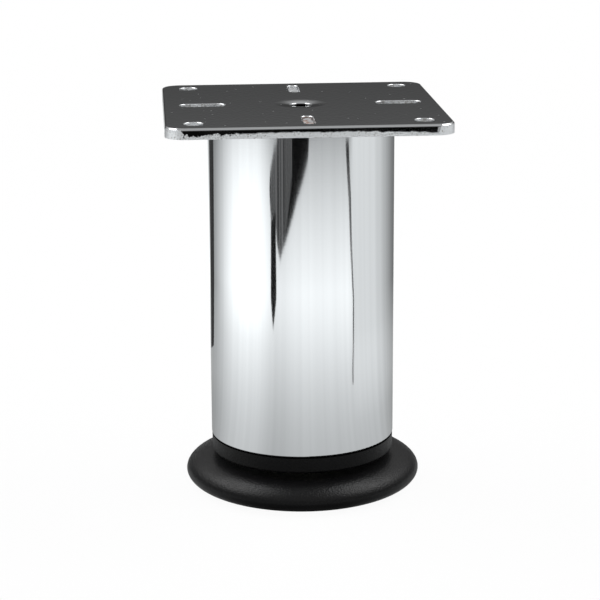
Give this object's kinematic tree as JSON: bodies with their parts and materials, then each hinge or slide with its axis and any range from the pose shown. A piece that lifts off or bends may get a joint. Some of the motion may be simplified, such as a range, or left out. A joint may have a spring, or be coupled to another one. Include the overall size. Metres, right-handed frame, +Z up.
{
  "type": "adjustable cabinet leg",
  "caption": "Round chrome tube leg with a square screw plate on top and a wide black foot that screws out to level a cabinet.",
  "frame": {"origin": "on the floor, on the tube's centre line, with the foot screwed fully in", "axes": "+Z up along the tube, +X and +Y along the plate's edges, the wide slots along X"},
  "size_m": [0.073, 0.073, 0.1048],
  "materials": {
    "chrome_plate": "bright chrome plated stamped steel",
    "chrome_tube": "bright chrome plated steel tube",
    "black_plug": "moulded black plastic, fine grain",
    "black_foot": "moulded black plastic, fine grain",
    "zinc_steel": "zinc plated turned steel"
  },
  "bodies": {
    "leg": {"mounting_plate": "chrome_plate", "leg_tube": "chrome_tube", "tube_plug": "black_plug", "captive_nut": "zinc_steel"},
    "stud": {"foot_stud": "zinc_steel"},
    "foot": {"foot_base": "black_foot"}
  },
  "joints": [
    {"name": "foot_travel", "type": "slide", "parent": "leg", "child": "stud", "axis": [0, 0, -1], "range_m": [0, 0.02]},
    {"name": "foot_turn", "type": "hinge", "parent": "stud", "child": "foot", "pos_m": [0, 0, 0], "axis": [0, 0, -1], "range_deg": [0, 4800]}
  ],
  "couplings": [
    {"joint": "foot_travel", "follows": "foot_turn", "m_per_rad": 0.00023873}
  ]
}
